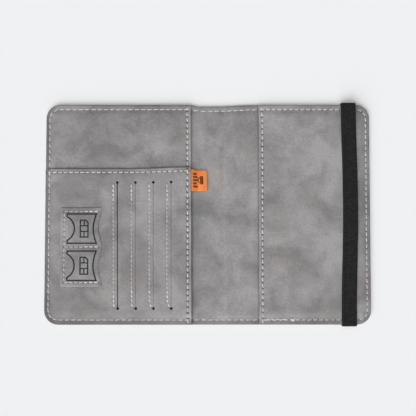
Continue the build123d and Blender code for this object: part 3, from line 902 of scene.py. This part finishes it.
def ribbon(line, width, surface, closed=True, rise=0.06, sink=0.08):  # a flat printed line that follows a surface
    step = 0.9
    if closed:
        line = respaced(np.array(line, float), step)
        sides = shifted(line, width / 2), shifted(line, -width / 2)
    else:
        line = alongPath(line, np.linspace(0, 1, max(2, int(pathLength(line) / step) + 1)))
        across = leftOf(np.gradient(line, axis=0)) * width / 2
        sides = line + across, line - across
    rings = [(sides[0], -sink), (sides[0], rise), (sides[1], rise), (sides[1], -sink)]
    verts = np.vstack([np.column_stack([xy, surface(xy[:, 0], xy[:, 1]) + z]) for xy, z in rings])
    n = len(line)
    faces = []
    for i in range(n if closed else n - 1):
        j = (i + 1) % n
        faces += [(k * n + i, (k + 1) % 4 * n + i, (k + 1) % 4 * n + j, k * n + j) for k in range(4)]
    if not closed:
        faces += [(3 * n, 2 * n, n, 0), (n - 1, 2 * n - 1, 3 * n - 1, 4 * n - 1)]
    return verts, faces


def windowLine(top):  # outline of the printed window of one SIM pocket
    x0, x1, h = patch["windowLeft"], patch["windowRight"], patch["windowHeight"]
    bow = [(x1 - patch["windowBow"] * math.sin(math.pi * t), top - h * t) for t in np.linspace(0, 1, 14)]
    half, deep = h / 2 - patch["notchMargin"], patch["notch"]
    r = (half * half + deep * deep) / (2 * deep)
    spread = math.asin(half / r)
    notch = arc(x0 + deep - r, top - h / 2, r, r, np.linspace(-spread, spread, 16))
    return [(x0, top), *bow, (x0, top - h), *notch][::-1]


def chipLines(y):  # plain contact pads in the middle of a window
    chip = patch["chip"]
    x0, x1, h, cut = chip["left"], chip["right"], chip["half"], chip["cut"]
    body = [(x0, y - h), (x1, y - h), (x1, y + h - cut), (x1 - cut, y + h), (x0, y + h)]
    middle = (x0 + x1) / 2
    pads = [[(x0, y + s * h / 3), (x1, y + s * h / 3)] for s in (-1, 1)]
    pads += [[(middle, y - h), (middle, y - h / 3)], [(middle, y + h / 3), (middle, y + h)]]
    outline = ribbon(body, chip["line"], patchTop)
    return [outline] + [ribbon(pad, chip["pad"], patchTop, closed=False, rise=0.05) for pad in pads]


def joinedShells(name, parts, material):  # several closed shells as one piece
    faces, start = [], 0
    for verts, shell in parts:
        faces += [tuple(start + i for i in face) for face in shell]
        start += len(verts)
    return meshObject(name, np.vstack([verts for verts, _ in parts]), faces, [material])


def printedLines(name, parts, ink):
    for verts, _ in parts:
        verts[:, 0], verts[:, 1] = settle(verts[:, 0], verts[:, 1])
    return joinedShells(name, parts, ink)


printed = []
for top in patch["windowTops"]:
    printed.append(ribbon(windowLine(top), patch["lineWidth"], patchTop))
    printed += chipLines(top - patch["windowHeight"] / 2)
simPatchPrint = printedLines("simPatchPrint", printed, patchInk)

for piece, node, outline, under in (
    (ticketPocket, "ticket_pocket", ticketOutline, "innerLiningLeft"),
    (cardPanel, "card_panel", cardOutline, "ticketPocket"),
    (simPatch, "sim_patch", patchOutline, "cardPanel"),
):
    attach(piece, "front_cover", "inner_leather", node)
attach(simPatchPrint, "front_cover", None)
print("SIM patch made")


tag = {
    "root": -15.3,
    "reach": -0.3,
    "low": 15.2,
    "high": 29.7,
    "pivotY": 23,
    "corner": 1.8,
    "smallCorner": 0.5,
    "tilt": math.radians(1.6),  # it was sewn in slightly askew
    "tipLift": 0.55,
    "barStart": -9.9,
    "barWidth": 1.25,
    "bars": [(18.3, 3.1), (20.4, 2.2), (22.5, 3.1), (24.6, 3.1), (26.7, 2.4)],  # y, length
    "shackle": [(-5.0, 21.1), (-6.0, 21.2), (-6.5, 22.0), (-6.5, 23.4), (-6.0, 24.2), (-5.0, 24.3)],
    "lockBody": [(-4.1, 19.9), (-4.1, 25.5)],
}


def tagTop(x, y):
    high, low = level["ticket"] + 0.03, level["flat"] + 0.12
    drop = smooth(x, panelEdge + 0.2, panelEdge + 5.2)
    curl = tag["tipLift"] * smooth(x, -7, 0) ** 1.3 + 0.12 * np.cos((y - tag["pivotY"]) / 8 * math.pi / 2)
    return high + (low - high) * drop + curl * smooth(x, panelEdge, -5) + thick["tag"]


def askew(points):
    c, s = math.cos(tag["tilt"]), math.sin(tag["tilt"])
    moved = [(x - panelEdge, y - tag["pivotY"]) for x, y in points]
    return [(panelEdge + c * x - s * y, tag["pivotY"] + s * x + c * y) for x, y in moved]


def makeTagOutline():
    r, small, x, y = tag["corner"], tag["smallCorner"], tag["reach"], tag["high"]
    lower = [(tag["root"], tag["low"]), (x - small, tag["low"]), (x, tag["low"] + small)]
    return askew([*lower, *arc(x - r, y - r, r, r, quarter(7)), (tag["root"], y)])


tagOutline = makeTagOutline()
shieldingTag = makeSheet("shieldingTag", "tag", tagTop, {
    "outline": tagOutline, "step": 0.8, "edgeStep": 0.7, "lowerStep": 0.9,
    "rim": [(0.0, 0.16), (0.08, 0.05), (0.2, 0.0)], "materials": [orange, tagEdge],
})
marks = [([(tag["barStart"], y), (tag["barStart"] + n, y)], tag["barWidth"], 0.03) for y, n in tag["bars"]]
marks += [(tag["lockBody"], 2.3, 0.03), (tag["shackle"], 0.7, 0.035)]  # line, width, rise
tagLines = [ribbon(askew(line), width, tagTop, closed=False, rise=rise) for line, width, rise in marks]
shieldingTagPrint = printedLines("shieldingTagPrint", tagLines, tagInk)
attach(shieldingTag, -1, "tag", "shielding_tag", "shielding_tag_tip")
attach(shieldingTagPrint, -1, None)
print("tag made")


def pocketShade(x, y):  # painted highlight on the rounded hem strip
    return 0.08 * smooth(-x, -pocketSeam + 0.5, -pocketSeam + 1.2) * smooth(x, pocketEdge, pocketEdge + 0.5)


pocketOutline = halfOutline(1, 0.05, near=pocketEdge)
passportPocket = makeSheet("passportPocket", "pocket", pocketTop, {
    "outline": pocketOutline, "seams": [edgeSeams["pocket"], pocketHemSeam], "shade": pocketShade,
    "spots": [
        (62, 52, 10, 8, 0.5), (74, 28, 10, 12, 0.35), (50, 8, 10, 14, 0.4), (82, -16, 7, 13, 0.75),
        (66, 4, 12, 8, 0.3), (52, -36, 9, 14, 0.45), (68, -52, 8, 5, 0.5), (62, -22, 10, 6, -0.35),
        (79, 68, 12, 6, 0.5), (60, -64, 24, 7, -0.5),
    ],
})
attach(passportPocket, "back_cover", "inner_leather", "passport_pocket")

band = {
    "width": 10.2,
    "thick": 0.95,
    "line": [(76, 96.0), (40, 96.5), (4, 96.95), (-40, 96.0), (-76, 95.6)],  # y and x of the band's middle
    "ribPitch": 0.85,
    "ribDepth": 0.05,
    "tailReach": 69.6,
    "tailExit": 0.4,  # where a tail starts to turn, in from the wallet's edge
    "clear": 0.2,  # inside the CAD band's end
    "lowerBend": 0.55,
    "bend": 1.0,  # radius of the turn over the edge
    "across": [0, 0.24, 0.48, 0.72, 0.9, 0.97, 1],  # places of the points over half the width
    "held": (0.097, 0, 1.8 * mm),  # in metres
    "free": (0.097, 0, 4.3 * mm),  # in metres
}


def bandPath():  # from the tail in the upper seam, over the pocket, to the tail in the lower seam
    low = (level["cover"] + level["flat"]) / 2
    out, high = nodeBox("elastic_band")[1][1:] - band["thick"] / 2
    out = out - band["clear"]
    side = [(band["tailReach"], low), (wallet["halfHeight"] - band["tailExit"], low)]
    r = band["lowerBend"]
    side += arc(out - r, low + r, r, r, quarter(7) - math.pi / 2)
    r = band["bend"]
    side += arc(out - r, high - r, r, r, quarter(7))
    path = side + [(-y, z) for y, z in side[::-1]]
    count = int(pathLength(path) / (band["ribPitch"] / 4))
    return alongPath(path, np.linspace(0, 1, count)), pathLength(path)


def makeBand():
    path, length = bandPath()
    away = -leftOf(np.gradient(path, axis=0))  # from the leather
    run = np.linspace(0, length, len(path))
    half, h = band["width"] / 2, band["thick"] / 2
    across = np.array([-a for a in band["across"][:0:-1]] + band["across"])
    crown = np.sqrt(np.clip(1 - np.abs(across) ** 7, 0.02, 1))
    profile = [*zip(across, crown), *zip(across[::-1], -crown[::-1])]
    ys, xs = zip(*band["line"])
    middle = np.polyfit(ys, xs, len(ys) - 1)
    verts, uvs = [], []
    for i, (y, z) in enumerate(path):
        rib = 1 + band["ribDepth"] / h * math.cos(math.tau * run[i] / band["ribPitch"])
        for a, c in profile:
            offset = h * c * (rib if abs(c) > 0.5 else 1)
            verts.append((float(np.polyval(middle, y)) + a * half, y + away[i, 0] * offset, z + away[i, 1] * offset))
            uvs.append((a * half, run[i]))
    n, last = len(profile), (len(path) - 1) * len(profile)
    faces = []
    for start in range(0, last, n):
        for k in range(n):
            j = (k + 1) % n
            faces.append((start + j, start + k, start + n + k, start + n + j))
    faces += [tuple(range(n)), tuple(last + k for k in range(n))[::-1]]
    obj = meshObject("elasticBand", verts, faces, [elastic])
    layer = obj.data.uv_layers.new(name="weave")
    corners = np.zeros(len(obj.data.loops), np.int32)
    obj.data.loops.foreach_get("vertex_index", corners)
    layer.data.foreach_set("uv", np.array(uvs, np.float32)[corners].ravel())
    return obj, length


elasticBand, bandLength = makeBand()
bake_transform(elasticBand)
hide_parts("elastic_band", "elastic_band_tails")
print("passport side made")


stitch = {"Stitch Length": 3.3, "Thread Width": 0.62, "Arch": 0.26, "Slant": 0.05, "Wander": 0.06}
threads = {  # kinds of thread
    "plain": stitch,
    "short": {**stitch, "Stitch Length": 2.8, "Thread Width": 0.72},
    "fine": {**stitch, "Stitch Length": 2.9, "Thread Width": 0.59},
    "slim": {**stitch, "Stitch Length": 2.5, "Thread Width": 0.47, "Arch": 0.22, "Wander": 0.1},
    "outside": {**stitch, "Arch": -0.16},
    "overSewn": {**stitch, "Wander": 0.42, "Thread Width": 0.8, "Stitch Length": 3.4},
    "knot": {**stitch, "Wander": 0.8, "Thread Width": 0.95, "Stitch Length": 2.0, "Arch": 0.4},
}
sewn = {
    "steps": 6,  # along a stitch
    "sides": 7,  # round it
    "foot": -1.3,  # how far its ends dip and its curve's middle point rises, in arches
    "crest": 3.1,
    "taper": 0.35,  # how much thinner it is at its ends
    "sunk": 0.14,  # how deep a stitch's middle line lies in the leather
    "doubleShift": 0.32,  # from a stitch to the one sewn over it
    "groove": 0.64,  # height of the groove in the outer face, where the threads arch the other way
    "secondRow": (37.5, 55, [0.9, 0.3]),  # sewn over part of the pocket's lower seam: from x, to x, shift
    "knot": [(56.9, -71.5), (57.9, -71.9), (58.6, -71.3)],
    "overLift": 0.12,
}


def threadTree():  # sews an arched thread at every point of the seam lines that it's given
    tree = bpy.data.node_groups.new("sewnThread", "GeometryNodeTree")
    for label, kind in (
        ("Seams", "Geometry"), ("Stitch Length", "Float"), ("Thread Width", "Float"), ("Arch", "Float"),
        ("Slant", "Float"), ("Wander", "Float"), ("Seed", "Int"), ("Thread", "Material"),
    ):
        tree.interface.new_socket(name=label, in_out="INPUT", socket_type="NodeSocket" + kind)
    tree.interface.new_socket(name="Stitches", in_out="OUTPUT", socket_type="NodeSocketGeometry")
    given = {socket.name: Wire(socket) for socket in tree.nodes.new("NodeGroupInput").outputs if socket.name}

    def add(kind, values=None, output=0, **settings):
        return wire(tree, kind, values, output, **settings)

    half, ends = given["Stitch Length"] * 0.5, given["Arch"] * sewn["foot"]
    arch = add("GeometryNodeCurveQuadraticBezier", {
        "Resolution": sewn["steps"],
        "Start": add("ShaderNodeCombineXYZ", {0: half * -1.0, 2: ends}),
        "Middle": add("ShaderNodeCombineXYZ", {2: given["Arch"] * sewn["crest"]}),
        "End": add("ShaderNodeCombineXYZ", {0: half, 2: ends}),
    })
    share = add("GeometryNodeSplineParameter", output="Factor")
    taper = calc("SINE", share * math.pi) * sewn["taper"] + (1 - sewn["taper"])
    arch = add("GeometryNodeSetCurveRadius", {"Curve": arch, "Radius": taper})
    ring = add("GeometryNodeCurvePrimitiveCircle", {"Resolution": sewn["sides"], "Radius": given["Thread Width"] * 0.5})
    body = add("GeometryNodeCurveToMesh", {"Curve": arch, "Profile Curve": ring, "Fill Caps": True})
    lines = add("GeometryNodeMeshToCurve", {"Mesh": given["Seams"]})
    spots = put(tree, "GeometryNodeCurveToPoints", {"Curve": lines}, mode="EVALUATED").outputs
    tangent = Wire(spots["Tangent"])
    aimed = add("FunctionNodeAlignRotationToVector", {"Vector": tangent}, axis="X", pivot_axis="Z")
    chance = add("FunctionNodeRandomValue", {2: -1.0, 3: 1.0, "Seed": given["Seed"]}, 1, data_type="FLOAT")
    euler = add("ShaderNodeCombineXYZ", {2: chance * given["Wander"] + given["Slant"]})
    twist = add("FunctionNodeEulerToRotation", {0: euler})
    aimed = add("FunctionNodeRotateRotation", {0: aimed, 1: twist}, rotation_space="LOCAL")
    points = Wire(spots["Points"])
    placed = add("GeometryNodeInstanceOnPoints", {"Points": points, "Instance": body, "Rotation": aimed})
    rounded = add("GeometryNodeSetShadeSmooth", {0: add("GeometryNodeRealizeInstances", {0: placed})})
    colored = add("GeometryNodeSetMaterial", {"Geometry": rounded, "Material": given["Thread"]})
    put(tree, "NodeGroupOutput", {"Stitches": colored})
    return tree


sewing = threadTree()


def sewnLine(xy, surface, lift=0.0):
    x, y = settle(xy[:, 0], xy[:, 1])
    return np.column_stack([x, y, surface(xy[:, 0], xy[:, 1]) - sewn["sunk"] + lift])


def sewnRuns(surface, *seamLines):  # the seams' own stitches, and those sewn over them where they were doubled
    runs = []
    for line in seamLines:
        runs.append(sewnLine(line["centres"], surface))
        for first, last in line["doubled"]:
            again = line["centres"][first:last]
            across = leftOf(again[-1:] - again[:1])
            runs.append(sewnLine(again + across * sewn["doubleShift"], surface, lift=0.1))
    return runs


def secondRow(needles, surface):
    x0, x1, shift = sewn["secondRow"]
    part = needles[(needles[:, 0] > x0) & (needles[:, 0] < x1) & (needles[:, 1] < 0)]
    return sewnLine(part + shift, surface, sewn["overLift"])


def sew(runs, kind, seed):
    verts, edges = [], []
    for line in runs:
        start = len(verts)
        verts += [tuple(p * mm) for p in line]
        edges += [(start + i, start + i + 1) for i in range(len(line) - 1)]
    mesh = bpy.data.meshes.new("seamLines")
    mesh.from_pydata(verts, edges, [])
    obj = bpy.data.objects.new("seamLines", mesh)
    bpy.context.scene.collection.objects.link(obj)
    modifier = obj.modifiers.new("thread", "NODES")
    modifier.node_group = sewing
    sockets = {i.name: i.identifier for i in sewing.interface.items_tree if i.in_out == "INPUT"}
    sizes = {label: threads[kind][label] * mm for label in ("Stitch Length", "Thread Width", "Arch")}
    for label, value in {**threads[kind], **sizes, "Seed": seed, "Thread": thread}.items():
        modifier[sockets[label]] = value
    graph = bpy.context.evaluated_depsgraph_get()
    made = bpy.data.meshes.new_from_object(obj.evaluated_get(graph))
    bpy.data.objects.remove(obj)
    return made


def stitching(name, groups, seed):  # groups of (runs, kind of thread): one piece for them all
    meshes = [sew(runs, kind, seed + i) for i, (runs, kind) in enumerate(groups)]
    shells = [([v.co / mm for v in mesh.vertices], [p.vertices for p in mesh.polygons]) for mesh in meshes]
    return joinedShells(name, shells, thread)


def outsideGroove(x, y):
    return 0 * x + sewn["groove"]


for seed, (name, on, nodes, *groups) in enumerate([
    ("edgeStitchesFront", "front_cover", ["edge_stitching_front"],
     (sewnRuns(ticketTop, edgeSeams["ticket"]) + sewnRuns(cardTop, edgeSeams["card"]), "plain")),
    ("panelEdgeStitches", "front_cover", ["panel_edge_stitching"],
     (sewnRuns(ticketTop, panelSeams["ticket"]) + sewnRuns(cardTop, panelSeams["card"]), "short")),
    ("cardPanelTopStitches", "front_cover", ["card_panel_top_stitching"], (sewnRuns(cardTop, hemSeam), "short")),
    ("cardSlitStitches", "front_cover", ["card_slit_stitching"], (sewnRuns(cardTop, *slitSeams), "slim")),
    ("simPatchStitches", "front_cover", ["sim_patch_stitching"], (sewnRuns(patchTop, *patchSeams), "slim")),
    ("edgeStitchesBack", "back_cover", ["edge_stitching_back"],
     (sewnRuns(pocketTop, edgeSeams["pocket"]), "fine"),
     ([secondRow(edgeSeams["pocket"]["needles"], pocketTop)], "overSewn"),
     ([sewnLine(np.array(sewn["knot"]), pocketTop, sewn["overLift"])], "knot")),
    ("passportPocketStitches", "back_cover", ["passport_pocket_stitching"],
     (sewnRuns(pocketTop, pocketHemSeam), "short")),
    ("edgeStitchesSpineLeft", -1, ["edge_stitching_spine"], (sewnRuns(liningTop, *edgeSeams["spineLeft"]), "plain")),
    ("edgeStitchesSpineRight", 1, [], (sewnRuns(liningTop, *edgeSeams["spineRight"]), "plain")),
    ("outsideStitchesLeft", -1, [], (sewnRuns(outsideGroove, outsideSeams[-1]), "outside")),
    ("outsideStitchesRight", 1, [], (sewnRuns(outsideGroove, outsideSeams[1]), "outside")),
]):
    attach(stitching(name, groups, 10 * seed + 1), on, "thread", *nodes)


studio = {
    "floor": (0.835, 0.843, 0.858),
    "floorHalf": 4000,
    "floorHeight": -0.05,
    "wall": (0.855, 0.863, 0.880),
    "world": 0.13,
    "lights": {  # direction, strength, spread in degrees
        "sideLight": ((-0.34, -0.78, 0.64), 2.95, 62.0),  # very broad and soft, past the lower edge
        "topLight": ((0.04, 0.05, 1.0), 1.09, 14.0),
    },
    "cameraDistance": 0.75,  # in metres, as are the aim and the width
    "cameraTilt": math.radians(4.2),  # from straight above, towards the lower edge
    "aim": (0.0002, 0.0041, 0.002),
    "width": 0.2834,  # what the frame takes in at the wallet
}
sensor = 36


def addToScene(name, data):
    obj = bpy.data.objects.new(name, data)
    bpy.context.scene.collection.objects.link(obj)
    return obj


def makeFloor():
    material, _ = newMaterial("paleFloor")
    finish(material, (*studio["floor"], 1), 0.9, specular=0.1)
    s, z = studio["floorHalf"], studio["floorHeight"]
    corners = [(-s, -s, z), (s, -s, z), (s, s, z), (-s, s, z)]
    meshObject("floor", corners, [(0, 1, 2, 3)], [material], flat=True)


def makeBackdrop():  # a far round wall, so that low views don't look past the floor's end
    material, _ = newMaterial("paleWall")
    glow = {"Emission Color": (*studio["wall"], 1), "Emission Strength": 1.0}
    finish(material, (0, 0, 0, 1), 1.0, specular=0.0, **glow)
    turns = np.linspace(0, math.tau, 65)[:-1]
    r, n = studio["floorHalf"] * 0.96, len(turns)
    verts = [(r * math.cos(a), r * math.sin(a), z) for z in (studio["floorHeight"], r) for a in turns]
    faces = [((i + 1) % n, i, n + i, n + (i + 1) % n) for i in range(n)]
    obj = meshObject("backdrop", verts, faces, [material])
    obj.visible_shadow = obj.visible_diffuse = obj.visible_glossy = False


def makeLight(name, direction, power, spread):
    light = bpy.data.lights.new(name, "SUN")
    light.angle = math.radians(spread)
    light.energy = power
    obj = addToScene(name, light)
    obj.location = Vector(direction).normalized() * 2
    obj.rotation_euler = (-Vector(direction)).to_track_quat("-Z", "Y").to_euler()


def makeCamera():
    data = bpy.data.cameras.new("camera")
    data.sensor_width = sensor
    data.lens = sensor * studio["cameraDistance"] / studio["width"]
    data.clip_start, data.clip_end = 0.01, 200
    obj = addToScene("camera", data)
    tilt = studio["cameraTilt"]
    obj.location = Vector(studio["aim"]) + Vector((0, -math.sin(tilt), math.cos(tilt))) * studio["cameraDistance"]
    obj.rotation_euler = (tilt, 0, 0)
    bpy.context.scene.camera = obj


def makeWorld():
    world = bpy.data.worlds.new("studio")
    world.use_nodes = True
    background = world.node_tree.nodes["Background"]
    background.inputs["Color"].default_value = (1, 1, 1, 1)
    background.inputs["Strength"].default_value = studio["world"]
    bpy.context.scene.world = world
    bpy.context.scene.view_settings.view_transform = "Standard"


makeFloor()
makeBackdrop()
for name, settings in studio["lights"].items():
    makeLight(name, *settings)
makeCamera()
makeWorld()
